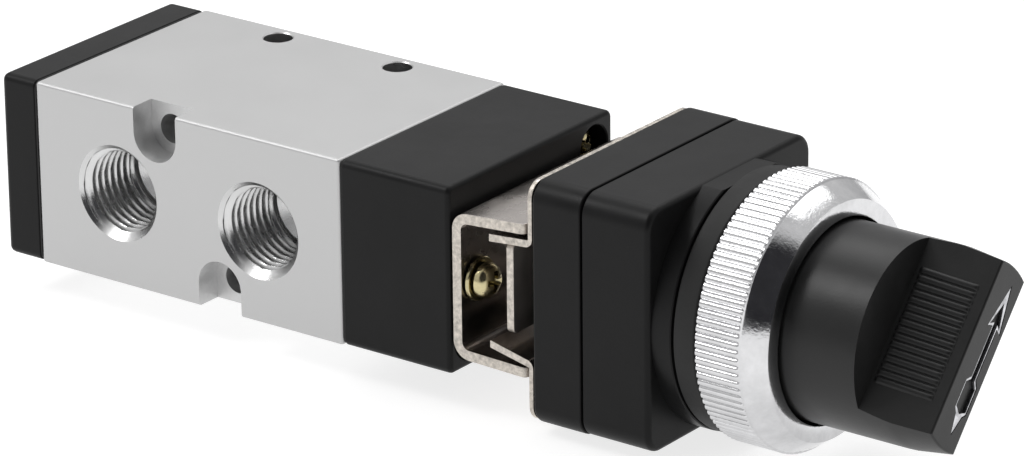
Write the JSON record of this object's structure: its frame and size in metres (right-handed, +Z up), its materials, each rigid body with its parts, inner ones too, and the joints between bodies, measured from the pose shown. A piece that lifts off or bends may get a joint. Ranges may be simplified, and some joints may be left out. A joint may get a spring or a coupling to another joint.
{
  "type": "panel-mount selector spool valve",
  "caption": "Hand-operated spool valve: ported metal body, end caps, sheet bracket and a selector switch whose knob turns through a panel and pushes the spool.",
  "frame": {"origin": "centre of the whole assembly, on the common axis of the spool and the knob", "axes": "+X along the spool and the knob towards the knob's end face, -Y towards the two working ports, +Z up"},
  "size_m": [0.1502, 0.0378, 0.0374],
  "materials": {
    "satin_aluminium": "satin, clear anodised",
    "black_plastic": "fine moulded satin",
    "knob_plastic": "moulded satin",
    "nickel_plate": "bright nickel plate on sheet steel",
    "chrome": "bright plated",
    "yellow_zinc": "yellow zinc plate on steel",
    "steel": "turned",
    "brass": "turned",
    "rubber": "matt"
  },
  "bodies": {
    "valve": {"valve_body": "satin_aluminium", "rear_cap": "black_plastic", "front_cap": "black_plastic", "rear_gasket": "rubber", "front_gasket": "rubber", "rear_cap_screw_1": "yellow_zinc", "rear_cap_screw_2": "yellow_zinc", "front_cap_screw_1": "yellow_zinc", "front_cap_screw_2": "yellow_zinc", "stem_seal": "rubber", "stem_bush": "brass", "bracket_channel": "nickel_plate", "bracket_angle_upper": "nickel_plate", "bracket_angle_lower": "nickel_plate", "bracket_rivet_upper": "nickel_plate", "bracket_rivet_lower": "nickel_plate", "bracket_screw_1": "yellow_zinc", "bracket_screw_2": "yellow_zinc", "bracket_washer_1": "yellow_zinc", "bracket_washer_2": "yellow_zinc", "base_rear": "black_plastic", "base_front": "black_plastic", "base_screw_1": "steel", "base_screw_2": "steel", "base_screw_3": "steel", "base_screw_4": "steel", "plunger_bush": "brass", "shaft_bush": "brass"},
    "gasket": {"panel_gasket": "rubber"},
    "ring": {"ring_nut": "chrome"},
    "selector": {"knob": "knob_plastic", "knob_arrow": "chrome", "knob_screw": "steel", "selector_shaft": "steel", "cam_drum": "steel"},
    "follower": {"plunger": "steel", "push_plate": "nickel_plate", "cross_pin": "steel"},
    "spool_set": {"spool": "satin_aluminium", "spool_seal_1": "rubber", "spool_seal_2": "rubber", "spool_seal_3": "rubber", "spool_seal_4": "rubber", "spool_seal_5": "rubber", "return_spring": "steel"}
  },
  "joints": [
    {"name": "knob_turn", "type": "hinge", "parent": "valve", "child": "selector", "pos_m": [0.0631, 0, 0], "axis": [1, 0, 0], "range_deg": [0, 90]},
    {"name": "follower_slide", "type": "slide", "parent": "valve", "child": "follower", "axis": [-1, 0, 0], "range_m": [0, 0.00301]},
    {"name": "spool_slide", "type": "slide", "parent": "valve", "child": "spool_set", "axis": [-1, 0, 0], "range_m": [0, 0.00301], "deforming": ["return_spring"]},
    {"name": "panel_gasket_slide", "type": "slide", "parent": "valve", "child": "gasket", "axis": [1, 0, 0], "range_m": [0, 0.00601]},
    {"name": "ring_nut_turn", "type": "hinge", "parent": "gasket", "child": "ring", "pos_m": [0.0488, 0, 0], "axis": [1, 0, 0], "range_deg": [0, 1440]}
  ],
  "couplings": [
    {"joint": "follower_slide", "follows": "knob_turn", "m_per_rad": 0.0019099},
    {"joint": "spool_slide", "follows": "knob_turn", "m_per_rad": 0.0019099},
    {"joint": "panel_gasket_slide", "follows": "ring_nut_turn", "m_per_rad": 0.00023873}
  ]
}
